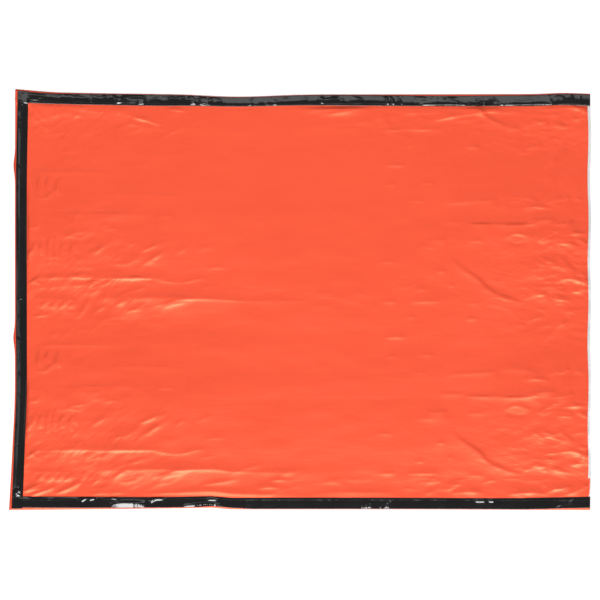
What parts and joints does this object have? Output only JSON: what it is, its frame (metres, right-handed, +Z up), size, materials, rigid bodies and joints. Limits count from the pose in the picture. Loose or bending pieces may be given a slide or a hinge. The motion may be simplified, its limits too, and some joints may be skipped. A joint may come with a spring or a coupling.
{
  "type": "bivy sack",
  "caption": "Emergency bivy sack laid flat: orange metallised film, silver inside, closed by black tape at its foot and sides and open at its mouth.",
  "frame": {"origin": "on the floor, below the middle of the flat sack", "axes": "+X from the foot to the mouth, +Y to the right side of a person who lies in it face up, +Z up"},
  "size_m": [2.134, 1.524, 0.0166],
  "materials": {
    "orange_film": "orange face of a metallised polyethylene film, satin with fine crinkles",
    "silver_lining": "bright metallised inner face of the film",
    "black_tape": "glossy black adhesive tape, crinkled"
  },
  "bodies": {
    "root": {"back_panel": "orange_film", "back_panel_lining": "silver_lining", "front_panel": "orange_film", "front_panel_lining": "silver_lining", "right_side_tape": "black_tape", "left_side_tape": "black_tape", "foot_tape": "black_tape"}
  },
  "joints": []
}
